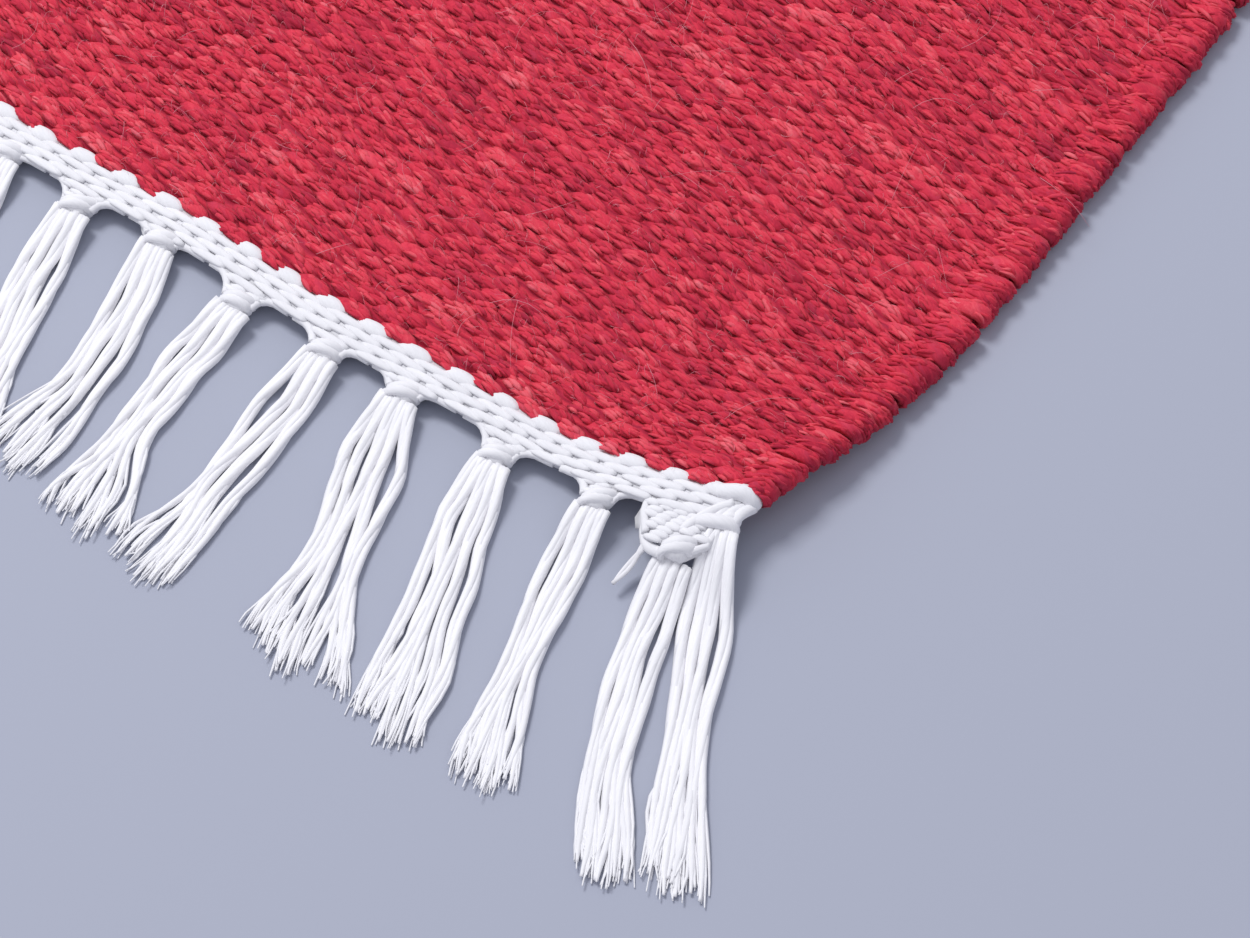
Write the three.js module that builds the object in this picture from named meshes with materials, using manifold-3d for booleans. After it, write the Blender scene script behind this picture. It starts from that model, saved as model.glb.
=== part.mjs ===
// Dhurrie rug: a flatwoven red wool field with a white cotton band and a knotted cotton
// fringe at each end. Millimetres, +Z up, +X across the width and +Y along the length. The
// origin is on the floor under the middle of the rug.
import * as THREE from "three";
import { mergeVertices } from "three/addons/utils/BufferGeometryUtils.js";
import Module from "manifold-3d";

// The wool field, with a thicker cord woven into each long edge
const FIELD_WIDTH = 600;
const FIELD_LENGTH = 900;
const FIELD_THICK = 5.5;
const SELVEDGE_THICK = 6.4;
const SELVEDGE_REACH = 15;
const SELVEDGE_ROUND = 1.9;

// The cotton band, parted from the wool by a narrow gap, and its necks towards the knots
const WEAVE_GAP = 0.6;
const BAND_WIDTH = 7.6;
const BAND_THICK = 4.8;
const BAND_INSET = 3;
const NECK = { reach: 10.4, aboveKnot: 2, halfWidth: 3.2, reachAtBandEnd: 8.7 };

// The tassels: each takes four warps
const TASSEL_PITCH = 21.7;
const TASSEL_COUNT = 27;
const KNOT = { across: 3.7, along: 3.4, high: 3.1 };
const EDGE_KNOT = { across: 2.8, along: 3.2, high: 2.7 };
const KNOT_END_SHARE = 0.72;
const CORD = {
  width: 2.4, rootWidth: 1.45, height: 2.1, rootRise: 1.6, rootShare: 1.75, gap: 2.85,
  outerShorter: 1.6, secondShorter: 1, leanPower: 1.2,
};
const CORD_STEPS = [0, 0.22, 0.78, 1];
const TAIL = { fromSide: 19.5, out: 13.6, drift: -1, length: 11, width: 1.6 };

// The tassels nearest the lifted corner, in order from it: how far the knot is from the long
// side and from the wool, how far the tips lie towards that side, how far the middle bows to
// it, the spread of the tips, the number of cords and their length. The first hangs from a
// web that reaches further along the band than other necks.
const TASSEL_ROWS = [
  { fromSide: 12, out: 16, drift: 22.0, bow: -2.0, fan: 9, cords: 4, length: 58.5, web: 7.5 },
  { fromSide: 35, out: 12.4, drift: 15.2, bow: -0.5, fan: 9, cords: 4, length: 59 },
  { fromSide: 60.5, out: 13.1, drift: 19.5, bow: 1.0, fan: 14, cords: 5, length: 61.5 },
  { fromSide: 86, out: 11.2, drift: 20.7, bow: 1.0, fan: 20, cords: 5, length: 63 },
  { fromSide: 105.5, out: 11.6, drift: 4.1, bow: 0.5, fan: 9, cords: 4, length: 62 },
  { fromSide: 128, out: 13.1, drift: 8.3, bow: -2.0, fan: 15, cords: 4, length: 59 },
  { fromSide: 151, out: 10.4, drift: 10.5, bow: 3.5, fan: 12, cords: 4, length: 59 },
  { fromSide: 171.5, out: 12.9, drift: 16.5, bow: 1.0, fan: 11, cords: 4, length: 60.5 },
];
const OTHER_TASSELS = {
  out: 10.8, outVary: 1.1, drift: 10.5, driftVary: 4, bowVary: 2.5, fan: 11, fanVary: 2,
  length: 62, lengthVary: 3,
};
// The bundles of selvedge warps outside the last knots, on the corner's side and the far one
const EDGE_BUNDLES = [
  { side: 1, fromSide: 5.5, out: 7.4, drift: 27, bow: 0.5, fan: 10, cords: 4, length: 62 },
  { side: -1, fromSide: 6, out: 7.4, drift: 5, bow: -2, fan: 10, cords: 4, length: 61 },
];

// How the rug lies: each corner is drawn in along both edges and lifts a little
const CORNERS = [
  { side: 1, end: -1, inX: 10, inY: 7.5, lift: 5 },
  { side: -1, end: -1, inX: 6, inY: 5, lift: 2 },
  { side: 1, end: 1, inX: 7, inY: 5, lift: 1.5 },
  { side: -1, end: 1, inX: 9, inY: 7, lift: 3 },
];
const CORNER_REACH = { alongSide: 90, alongEnd: 60 };
// Slow waves of the two edges, and how far the waves of one long side run ahead of the other's
const SIDE_WAVES = [{ size: 0.6, length: 430, shift: 70 }, { size: 0.4, length: 270, shift: 150 }];
const END_WAVES = [{ size: 0.6, length: 90, shift: 7.5 }, { size: 0.4, length: 300, shift: 0 }];
const SIDE_AHEAD = 80;

const WOOL = new THREE.MeshStandardMaterial({ color: 0xb52a3d, roughness: 0.95, metalness: 0 });
const COTTON = new THREE.MeshStandardMaterial({ color: 0xeeeef0, roughness: 0.9, metalness: 0 });

const half = { x: FIELD_WIDTH / 2, y: FIELD_LENGTH / 2 };

function wave(rows, s) {
  const turns = (row) => (s + row.shift) / row.length;
  return rows.reduce((sum, row) => sum + row.size * Math.sin(2 * Math.PI * turns(row)), 0);
}

// Where a point of the straight, flat rug comes to lie
function settle(x, y, z) {
  const at = new THREE.Vector3(x, y, z);
  at.x += (x / half.x) * wave(SIDE_WAVES, y + (SIDE_AHEAD / 2) * Math.sign(x));
  at.y += (y / half.y) * wave(END_WAVES, x);
  for (const corner of CORNERS) {
    const away = Math.hypot(x - corner.side * half.x, y - corner.end * half.y);
    const side = Math.max(0, 1 - away / CORNER_REACH.alongSide) ** 2;
    const end = THREE.MathUtils.smoothstep(1 - away / CORNER_REACH.alongEnd, 0, 1);
    at.x -= corner.side * corner.inX * side;
    at.y -= corner.end * corner.inY * end;
    at.z += corner.lift * end;
  }
  return at;
}

// Moves every point of a geometry by a function of its old place
function reshape(geometry, move) {
  const points = geometry.getAttribute("position");
  const old = new THREE.Vector3();
  for (let i = 0; i < points.count; i += 1) {
    old.fromBufferAttribute(points, i);
    points.setXYZ(i, ...move(old).toArray());
  }
  geometry.deleteAttribute("normal");
  geometry.deleteAttribute("uv");
  return mergeVertices(geometry, 1e-4);
}

// The lines of the field's cells, as distances from the middle: close together near the
// edges, and on the warps of the tassels along the ends
const FIELD_LINES = {
  x: [...Array.from({ length: 13 }, (_, i) => i * TASSEL_PITCH), 272, 284, 294, half.x],
  y: [0, 110, 220, 315, 380, 416, 437, half.y - WEAVE_GAP / 2],
};

// The field is a box of even cells whose lines are moved to those distances. Its long sides
// are rounded over their edge cord.
function fieldGeometry() {
  const cells = { x: 2 * (FIELD_LINES.x.length - 1), y: 2 * (FIELD_LINES.y.length - 1) };
  const box = new THREE.BoxGeometry(cells.x, cells.y, 1, cells.x, cells.y, 3);
  const spread = (lines, u) => Math.sign(u) * lines[Math.round(Math.abs(u))];
  return reshape(box, (at) => {
    const level = at.z + 0.5;
    const x = spread(FIELD_LINES.x, at.x);
    const y = spread(FIELD_LINES.y, at.y);
    const fromSide = half.x - Math.abs(x);
    const rim = Math.max(0, 1 - fromSide / SELVEDGE_REACH);
    const thick = FIELD_THICK + (SELVEDGE_THICK - FIELD_THICK) * rim;
    const round = fromSide === 0 ? SELVEDGE_ROUND * (2 * level - 1) ** 2 : 0;
    return settle(x - Math.sign(x) * round, y, thick * level);
  });
}

// The tassels of one end, in order from the lifted corner's side
const TASSELS = Array.from({ length: TASSEL_COUNT }, (_, i) => {
  if (i < TASSEL_ROWS.length) {
    return TASSEL_ROWS[i];
  }
  const last = TASSEL_ROWS.length - 1;
  const other = OTHER_TASSELS;
  return {
    fromSide: TASSEL_ROWS[last].fromSide + (i - last) * TASSEL_PITCH,
    out: other.out + other.outVary * Math.sin(2.1 * i),
    drift: other.drift + other.driftVary * Math.sin(2.4 * i),
    bow: other.bowVary * Math.sin(1.7 * i + 1),
    fan: other.fan + other.fanVary * Math.sin(3.1 * i),
    cords: i % 5 === 2 ? 5 : 4,
    length: other.length + other.lengthVary * Math.sin(2.9 * i),
  };
});

// The lines across the band, from the far side to the corner: two on each neck and one in
// the middle between two necks, each with how far the band's outer edge lies from the wool
function bandLines() {
  const lines = [{ x: half.x - BAND_INSET, reach: NECK.reachAtBandEnd }];
  TASSELS.forEach((tassel, i) => {
    const x = half.x - tassel.fromSide;
    const reach = Math.max(NECK.reach, tassel.out - NECK.aboveKnot);
    lines.push({ x: x + NECK.halfWidth, reach }, { x: x - (tassel.web ?? NECK.halfWidth), reach });
    if (i < TASSEL_COUNT - 1) {
      const middle = half.x - (tassel.fromSide + TASSELS[i + 1].fromSide) / 2;
      lines.push({ x: middle - (tassel.web ?? 0) / 4, reach: BAND_WIDTH });
    }
  });
  lines.push({ x: BAND_INSET - half.x, reach: NECK.reachAtBandEnd });
  return lines.reverse();
}

// The band is a flat strip whose outer edge reaches out to each knot
function bandGeometry(place) {
  const lines = bandLines();
  const cells = lines.length - 1;
  const box = new THREE.BoxGeometry(cells, 1, 1, cells, 1, 1);
  return reshape(box, (at) => {
    const line = lines[Math.round(at.x + cells / 2)];
    const reach = at.y < 0 ? line.reach : 0;
    return place(line.x, -half.y - WEAVE_GAP / 2 - reach, BAND_THICK * (0.5 + at.z));
  });
}

// A knot is a six-sided barrel lying along its tassel, one flat side on the floor
function knotGeometry(place, x, y, knot) {
  const flat = Math.cos(Math.PI / 6);
  const barrel = new THREE.CylinderGeometry(1, 1, 2, 6, 2, false, Math.PI / 6);
  return reshape(barrel, (at) => {
    const girth = Math.abs(at.y) > 0.5 ? KNOT_END_SHARE : 1;
    return place(
      x + at.x * girth * knot.across,
      y + at.y * knot.along,
      knot.high * (1 + (at.z * girth) / flat),
    );
  });
}

// A cord is a three-sided bar along its own path, flat side down and pointed at its tip. It
// leaves the knot a little above the floor and lies level on the floor from its second step.
function cordGeometry(place, path, width) {
  const steps = path.length - 1;
  const bar = new THREE.CylinderGeometry(1, 0, 1, 3, steps);
  const corner = Math.cos(Math.PI / 6);
  return reshape(bar, (at) => {
    const step = Math.round((0.5 - at.y) * steps);
    const here = path[step];
    const girth = Math.hypot(at.x, at.z);
    const onAxis = girth < 1e-6;
    const across = onAxis ? 0 : (at.x / girth / corner) * (width[step] / 2);
    const up = onAxis ? 1 / 3 : (at.z / girth + 0.5) / 1.5;
    const next = path[Math.min(step + 1, steps)];
    const before = path[Math.max(step - 1, 0)];
    const turn = Math.atan2(next.x - before.x, before.y - next.y);
    const floor = place(here.x, here.y, 0);
    const spot = place(here.x + across * Math.cos(turn), here.y + across * Math.sin(turn), 0);
    spot.z = (here.onFloor ? 0 : floor.z + here.z) + up * CORD.height;
    return spot;
  });
}

// The paths of one tassel's cords: side by side, parting towards the tips
function cordPaths(x, y, knot, row) {
  const rootGap = (CORD.rootShare * knot.across) / (row.cords - 1);
  return Array.from({ length: row.cords }, (_, j) => {
    const slot = j - (row.cords - 1) / 2;
    const tipGap = Math.max(CORD.gap, row.fan / (row.cords - 1));
    const shorter = CORD.outerShorter * Math.abs(slot) + CORD.secondShorter * (j % 2);
    const reach = row.length - shorter;
    return CORD_STEPS.map((t) => {
      const near = Math.min(1, t / CORD_STEPS[1]);
      const gap = rootGap + (CORD.gap - rootGap) * near + (tipGap - CORD.gap) * t * t;
      const lean = row.drift * t ** CORD.leanPower + row.bow * Math.sin(Math.PI * t);
      return { x: x + lean + slot * gap, y: y - reach * t, z: CORD.rootRise, onFloor: t > 0 };
    });
  });
}

const wasm = await Module();
wasm.setup();

function toSolid(geometry) {
  const vertProperties = new Float32Array(geometry.getAttribute("position").array);
  const triVerts = new Uint32Array(geometry.getIndex().array);
  return new wasm.Manifold(new wasm.Mesh({ numProp: 3, vertProperties, triVerts }));
}

function fromSolid(solid) {
  const { vertProperties, triVerts } = solid.getMesh();
  const geometry = new THREE.BufferGeometry();
  geometry.setAttribute("position", new THREE.BufferAttribute(vertProperties, 3));
  geometry.setIndex(new THREE.BufferAttribute(triVerts, 1));
  return geometry;
}

// One end of the rug: the band, its knots and all its cords in one piece. The back end is
// the front one turned round, so that its tassels lie the other way.
function endGeometry(end) {
  const place = (x, y, z) => settle(-end * x, -end * y, z);
  const cordWidths = CORD_STEPS.map((t) => (t > 0 ? CORD.width : CORD.rootWidth));
  const solids = [bandGeometry(place)];
  const addTassel = (side, knot, row) => {
    const x = side * (half.x - row.fromSide);
    const y = -half.y - row.out;
    solids.push(knotGeometry(place, x, y, knot));
    for (const path of cordPaths(x, y - knot.along / 3, knot, row)) {
      solids.push(cordGeometry(place, path, cordWidths));
    }
  };
  TASSELS.forEach((row) => addTassel(1, KNOT, row));
  EDGE_BUNDLES.forEach((row) => addTassel(row.side, EDGE_KNOT, row));
  if (end < 0) {
    const tail = [0, 0.5, 1].map((t) => ({
      x: half.x - TAIL.fromSide + TAIL.drift * t,
      y: -half.y - TAIL.out - TAIL.length * t,
      z: CORD.rootRise,
      onFloor: t > 0,
    }));
    solids.push(cordGeometry(place, tail, tail.map(() => TAIL.width)));
  }
  return fromSolid(solids.map(toSolid).reduce((whole, piece) => whole.add(piece)));
}

function piece(name, geometry, material) {
  const mesh = new THREE.Mesh(geometry, material);
  mesh.name = name;
  return mesh;
}

const rug = new THREE.Group();
rug.add(piece("rug_field", fieldGeometry(), WOOL));
rug.add(piece("end_band_front", endGeometry(-1), COTTON));
rug.add(piece("end_band_back", endGeometry(1), COTTON));

export default rug;
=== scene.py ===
# %% [markdown]
# # A dhurrie rug
#
# A flatwoven floor rug: red handspun wool carries the field, and at each end a narrow band of
# white cotton holds it, with the warps knotted into tassels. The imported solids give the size
# and the way it lies. This notebook dresses them: every float of weft near the lifted corner is
# a closed tube of its own, and the rest of the field is one relief of the same weave. Everything
# is first worked out for a straight, flat rug in millimetres, and one function then lays it
# down with its drawn-in corners.

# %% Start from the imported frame
import math
import bpy
import numpy as np
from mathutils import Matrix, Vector
from numpy.random import default_rng


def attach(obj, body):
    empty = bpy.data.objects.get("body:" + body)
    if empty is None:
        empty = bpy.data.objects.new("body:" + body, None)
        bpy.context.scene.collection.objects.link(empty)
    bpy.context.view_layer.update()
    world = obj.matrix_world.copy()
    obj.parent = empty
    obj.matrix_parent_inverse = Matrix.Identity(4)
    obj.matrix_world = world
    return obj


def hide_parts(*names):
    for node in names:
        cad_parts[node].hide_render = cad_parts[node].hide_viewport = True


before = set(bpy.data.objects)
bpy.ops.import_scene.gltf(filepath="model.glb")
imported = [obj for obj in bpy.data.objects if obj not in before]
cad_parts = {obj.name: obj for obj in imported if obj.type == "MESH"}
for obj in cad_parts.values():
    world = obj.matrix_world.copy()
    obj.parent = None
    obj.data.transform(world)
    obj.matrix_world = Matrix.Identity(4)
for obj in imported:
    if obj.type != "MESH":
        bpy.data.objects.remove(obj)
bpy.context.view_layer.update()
print("nodes:", sorted(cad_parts))

# %% [markdown]
# ## How the rug lies
#
# A rug is never quite straight. Its long sides and ends wander slowly, and each corner is drawn
# in and lifts a little. The values and formulas are those of the solids, so that every yarn
# follows its solid.

# %% The sizes, in millimetres
MM = 0.001
TAU = 2 * np.pi
HALF_X, HALF_Y = 300.0, 450.0
ROWS = 401
ROW_STEP = 2 * HALF_Y / ROWS
REPEATS = 54
REPEAT = 2 * HALF_X / REPEATS
COLUMNS = np.arange(-REPEATS // 2, REPEATS // 2 + 1)
WARP_SHIFT = -0.87
WOOL_TOP = 5.0
# each corner: side, end, how far it is drawn in along x and y, lift
CORNERS = [(1, -1, 10, 7.5, 5), (-1, -1, 6, 5, 2), (1, 1, 7, 5, 1.5), (-1, 1, 9, 7, 3)]
# how near a corner the pull sideways begins, and how near the pull endways and the lift
SIDE_REACH, END_REACH = 90, 60
# each wave: size, length, shift
SIDE_WAVES = [(0.6, 430, 70), (0.4, 270, 150)]
END_WAVES = [(0.6, 90, 7.5), (0.4, 300, 0)]
# how far the right side's waves run ahead
SIDE_AHEAD = 80


def waves(rows, s):
    """The sum of size * sin(2 pi (s + shift) / length) over the rows."""
    return sum(size * np.sin(TAU * (s + shift) / length) for size, length, shift in rows)


def ease(low, high, t):
    """0 below low, 1 above high, and 3u^2 - 2u^3 between them."""
    u = np.clip((t - low) / (high - low), 0, 1)
    return u * u * (3 - 2 * u)


def settle(points, limp=0.0):
    """Where points of the straight flat rug come to lie: the edges sway by slow sine waves that
    grow from the middle outwards, and near a corner the points are drawn inwards and lifted by
    a smooth bell of the distance. limp is the share of the lift that a loose cord gives up."""
    x, y = points[..., 0], points[..., 1]
    out = points.copy()
    out[..., 0] += x / HALF_X * waves(SIDE_WAVES, y + SIDE_AHEAD / 2 * np.sign(x))
    out[..., 1] += y / HALF_Y * waves(END_WAVES, x)
    for side, end, in_x, in_y, lift in CORNERS:
        away = np.hypot(x - side * HALF_X, y - end * HALF_Y)
        bell = ease(0, 1, 1 - away / END_REACH)
        out[..., 0] -= side * in_x * np.maximum(0, 1 - away / SIDE_REACH) ** 2
        out[..., 1] -= end * in_y * bell
        out[..., 2] += lift * bell * (1 - limp)
    return out


print("repeat of the weave %.2f mm, weft rows %.2f mm apart" % (REPEAT, ROW_STEP))

# %% [markdown]
# ## Yarns as tubes
#
# Nearly everything here is yarn. A Blender curve with a bevel could draw one, but thousands of
# curves are slow, so all the yarns of a piece are worked out together: a path for each yarn, an
# oval ring round every point of it, and quads between the rings. Each point also keeps two
# things for the material: a tone, which carries the yarn's own shade and, in places, painted
# shade and painted light, and a place in the yarn's own frame, so that the fibres of the finish
# run along the yarn and turn with its twist.


# %% Many tubes at once
def unit(v):
    """Vectors scaled to length 1."""
    return v / np.maximum(np.linalg.norm(v, axis=-1, keepdims=True), 1e-9)


def path(x, y, z):
    """Paths as an array of (tube, ring, xyz), from coordinates that broadcast together."""
    points = np.stack(np.broadcast_arrays(x, y, z), axis=-1)
    return points.reshape(-1, *points.shape[-2:])


def tubes(paths, wide, high, sides, tone, up_hint=(0, 0, 1), twist=0.0, seed=0):
    """Closed oval tubes. A ring point is path + wide cos(a) across + high sin(a) up, where
    across is the path's direction crossed with up_hint and up stands on both. twist is the turn of the
    fibres in radians for each millimetre."""
    count, rings, _ = paths.shape
    along = unit(np.gradient(paths, axis=1))
    across = unit(np.cross(along, np.asarray(up_hint, float)))
    up = np.cross(across, along)
    a = TAU * np.arange(sides) / sides
    wide = np.broadcast_to(wide, (count, rings))[..., None]
    high = np.broadcast_to(high, (count, rings))[..., None]
    ring = (paths[:, :, None]
            + (wide * np.cos(a))[..., None] * across[:, :, None]
            + (high * np.sin(a))[..., None] * up[:, :, None])
    step = np.linalg.norm(np.diff(paths, axis=1), axis=2)
    run = np.concatenate([np.zeros((count, 1)), np.cumsum(step, axis=1)], axis=1)
    turn = a + (run * twist)[..., None]
    start = default_rng(seed).uniform(0, 400, (count, 1, 1))
    fibre = np.stack(np.broadcast_arrays(run[..., None] + start, wide * np.cos(turn) + start,
                                         high * np.sin(turn)), axis=-1)
    base = np.arange(count)[:, None, None] * rings * sides
    here = base + np.arange(rings - 1)[:, None] * sides + np.arange(sides)
    nxt = base + np.arange(rings - 1)[:, None] * sides + (np.arange(sides) + 1) % sides
    quads = np.stack([here, here + sides, nxt + sides, nxt], axis=-1).reshape(-1, 4)
    first = np.arange(count)[:, None] * rings * sides + np.arange(sides)
    caps = np.concatenate([first, (first + (rings - 1) * sides)[:, ::-1]])
    tone = np.asarray(tone, float)
    tone = tone[:, None] if tone.ndim == 1 else tone
    tones = np.broadcast_to(tone[..., None], (count, rings, sides))
    return dict(points=ring.reshape(-1, 3), faces=[quads, caps], tone=tones.reshape(-1),
                fibre=fibre.reshape(-1, 3))


def joined(parts):
    """Several meshes as one: their points in a row, and their faces counted on."""
    faces, base = [], 0
    for part in parts:
        faces += [f + base for f in part["faces"]]
        base += len(part["points"])
    arrays = {key: np.concatenate([p[key] for p in parts]) for key in ("points", "tone", "fibre")}
    return dict(arrays, faces=faces)


def lay_down(part, limp, turned):
    """The part where it comes to lie. turned swings it half round first, for the far end."""
    points = part["points"] * ([-1, -1, 1] if turned else [1, 1, 1])
    return dict(part, points=settle(points, limp))


def placed(name, data):
    """A new object with this data, linked to the scene."""
    thing = bpy.data.objects.new(name, data)
    bpy.context.scene.collection.objects.link(thing)
    return thing


def make_piece(name, part, finish, node="rug_field", limp=0.0, turned=False):
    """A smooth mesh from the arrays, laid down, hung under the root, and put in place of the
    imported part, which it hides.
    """
    part = lay_down(part, limp, turned)
    mesh = bpy.data.meshes.new(name)
    sizes = np.concatenate([np.full(len(f), f.shape[1]) for f in part["faces"]])
    corners = np.concatenate([f.reshape(-1) for f in part["faces"]])
    mesh.vertices.add(len(part["points"]))
    mesh.vertices.foreach_set("co", (part["points"] * MM).astype(np.float32).reshape(-1))
    mesh.loops.add(len(corners))
    mesh.loops.foreach_set("vertex_index", corners.astype(np.int32))
    mesh.polygons.add(len(sizes))
    starts = np.concatenate([[0], np.cumsum(sizes)[:-1]])
    mesh.polygons.foreach_set("loop_start", starts.astype(np.int32))
    mesh.update(calc_edges=True)
    mesh.attributes.new("tone", "FLOAT", "POINT").data.foreach_set(
        "value", part["tone"].astype(np.float32))
    mesh.attributes.new("fibre", "FLOAT_VECTOR", "POINT").data.foreach_set(
        "vector", part["fibre"].astype(np.float32).reshape(-1))
    mesh.polygons.foreach_set("use_smooth", np.ones(len(sizes), bool))
    mesh.materials.append(finish)
    piece = placed(name, mesh)
    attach(piece, "root")
    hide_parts(node)
    print("%s: %d triangles" % (name, (sizes - 2).sum()))
    return piece


# %% [markdown]
# ## The finishes
#
# The wool is handspun and dyed crimson. Its fibres lie side by side but not evenly, so one yarn
# shows bright coral, deep crimson and a little mauve, and it has a soft sheen at the edges
# where stray fibres catch the light. The cotton is undyed plied cord, nearly white and matt.
# Both read the fibre attribute, squeezed along the yarn, so that their streaks follow it. The
# relief of the field has a second wool finish, with the grooves between its packed rows, which
# are finer than its mesh: they are bumped and darkened as painted shade.


# %% A colour and a node
def rgb(code):
    """An sRGB hex colour as linear red, green, blue and alpha."""
    s = np.array([int(code[i:i + 2], 16) for i in (0, 2, 4)]) / 255
    return (*np.where(s <= 0.04045, s / 12.92, ((s + 0.055) / 1.055) ** 2.4), 1.0)


def node(tree, kind, *inputs, **named):
    """Adds a node. Its inputs come in order, with None for one that stays as it is, or by name,
    each as a value or as another node's output. Names in small letters are its settings. Gives
    the node's outputs."""
    new = tree.nodes.new("ShaderNode" + kind)
    for key, value in [*enumerate(inputs), *named.items()]:
        if str(key).islower():
            setattr(new, key, value)
        elif isinstance(value, bpy.types.NodeSocket):
            tree.links.new(value, new.inputs[key])
        elif value is not None:
            new.inputs[key].default_value = value
    return new.outputs


def plain_finish(name, colour, roughness):
    """A matt material of one colour, and its shader node."""
    material = bpy.data.materials.new(name)
    material.use_nodes = True
    shader = material.node_tree.nodes["Principled BSDF"]
    shader.inputs["Base Color"].default_value = rgb(colour)
    shader.inputs["Roughness"].default_value = roughness
    shader.inputs["Specular IOR Level"].default_value = 0.2
    return material, shader


def shades(tree, stops, fac):
    """A colour ramp through (place, hex) stops."""
    colour = node(tree, "ValToRGB", fac)["Color"]
    marks = colour.node.color_ramp.elements
    while len(marks) < len(stops):
        marks.new(0.5)
    for mark, (place, code) in zip(marks, stops):
        mark.position = place
        mark.color = rgb(code)
    return colour


# %% Handspun wool: bright fibres over deep ones, matt, with a pale sheen
def wool_finish(name, woven=False):
    """Fibres are 0.03 mm thick in truth. The streaks are drawn 0.3 mm wide and 4 mm long, the
    finest that the picture shows. woven adds the grooves between packed rows, whose floats bulge
    past each other, as bump and as painted shade: a height of |cos(b + 0.2 pi cos(a) sin(b))|,
    where a is 2 pi x / repeat and b is pi times the row."""
    material, shader = plain_finish(name, "b42a3e", 0.9)
    tree = material.node_tree
    tone = node(tree, "Attribute", attribute_name="tone")["Fac"]
    fibre = node(tree, "Attribute", attribute_name="fibre")["Vector"]
    squeezed = node(tree, "VectorMath", fibre, (0.12, 1.0, 1.0), operation="MULTIPLY")[0]
    # fine streaks and wider strands, each as a share above or below the middle
    streak = node(tree, "TexNoise", squeezed, Scale=2.6, Detail=3.0, Roughness=0.65)["Fac"]
    strand = node(tree, "TexNoise", squeezed, Scale=0.9, Detail=2.0)["Fac"]
    thin = node(tree, "Math", streak, 0.55, -0.275, operation="MULTIPLY_ADD")[0]
    wide = node(tree, "Math", strand, 0.6, -0.3, operation="MULTIPLY_ADD")[0]
    total = node(tree, "Math", thin, wide, operation="ADD")[0]
    # the grooves, as bump and as painted shade: single floats have real ones, so they get one middling
    # value
    groove = 0.7
    if woven:
        x, y, _ = node(tree, "SeparateXYZ", fibre)
        turn = TAU / REPEAT
        a = node(tree, "Math", x, turn, -turn * WARP_SHIFT, operation="MULTIPLY_ADD")[0]
        b = node(tree, "Math", y, math.pi / ROW_STEP, operation="MULTIPLY")[0]
        cos_a = node(tree, "Math", a, operation="COSINE")[0]
        sin_b = node(tree, "Math", b, operation="SINE")[0]
        past = node(tree, "Math", cos_a, sin_b, operation="MULTIPLY")[0]
        bent = node(tree, "Math", past, 0.2 * math.pi, b, operation="MULTIPLY_ADD")[0]
        wave = node(tree, "Math", bent, operation="COSINE")[0]
        groove = node(tree, "Math", wave, operation="ABSOLUTE")[0]
    # five reds from shadow to lit fibre, with mauve patches
    # painted shade: the grooves lower the level of the red
    shade = node(tree, "Math", groove, 0.5, -0.35, operation="MULTIPLY_ADD")[0]
    shaded = node(tree, "Math", total, shade, operation="ADD")[0]
    level = node(tree, "Math", shaded, tone, operation="ADD", use_clamp=True)[0]
    red = shades(tree, [(0.0, "a3243d"), (0.25, "bd2d44"), (0.5, "d6394e"), (0.75, "e4505f"),
                        (1.0, "ec6d78")], level)
    patch = node(tree, "TexNoise", squeezed, Scale=0.55, Detail=1.0)["Fac"]
    share = shades(tree, [(0.52, "000000"), (0.72, "8c8c8c")], patch)
    mauve = node(tree, "Mix", share, *[None] * 5, red, rgb("bf4a68"), data_type="RGBA")[2]
    # loose fluff, streaks and grooves as height
    fluff = node(tree, "TexNoise", fibre, Scale=1.3, Detail=3.0, Roughness=0.7)["Fac"]
    rough = node(tree, "Math", streak, fluff, operation="ADD")[0]
    height = node(tree, "Math", groove, 3.0, rough, operation="MULTIPLY_ADD")[0]
    bump = node(tree, "Bump", Strength=0.6, Distance=0.0003, Height=height)
    tree.links.new(mauve, shader.inputs["Base Color"])
    tree.links.new(bump["Normal"], shader.inputs["Normal"])
    shader.inputs["Specular IOR Level"].default_value = 0.1
    shader.inputs["Sheen Weight"].default_value = 0.4
    shader.inputs["Sheen Roughness"].default_value = 0.5
    shader.inputs["Sheen Tint"].default_value = rgb("ff7f88")
    return material


# %% Undyed cotton: off-white and matt, with faint grey streaks
def cotton_finish():
    """Cotton plied from soft strands. The streaks between them are drawn 0.4 mm wide."""
    material, shader = plain_finish("undyed_cotton", "f0f0f1", 0.85)
    tree = material.node_tree
    tone = node(tree, "Attribute", attribute_name="tone")["Fac"]
    fibre = node(tree, "Attribute", attribute_name="fibre")["Vector"]
    squeezed = node(tree, "VectorMath", fibre, (0.15, 1.0, 1.0), operation="MULTIPLY")[0]
    streak = node(tree, "TexNoise", squeezed, Scale=2.2, Detail=2.5, Roughness=0.6)["Fac"]
    level = node(tree, "Math", streak, 0.7, -0.35, operation="MULTIPLY_ADD")[0]
    total = node(tree, "Math", level, tone, operation="ADD", use_clamp=True)[0]
    white = shades(tree, [(0.0, "cfced1"), (0.4, "e0dfe3"), (1.0, "f1f0f3")], total)
    bump = node(tree, "Bump", Strength=0.35, Distance=0.0002, Height=streak)
    tree.links.new(white, shader.inputs["Base Color"])
    tree.links.new(bump["Normal"], shader.inputs["Normal"])
    shader.inputs["Sheen Weight"].default_value = 0.4
    return material


wool, packed_wool = wool_finish("handspun_wool"), wool_finish("packed_handspun_wool", woven=True)
cotton = cotton_finish()
print("finishes:", wool.name, packed_wool.name, cotton.name)
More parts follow.
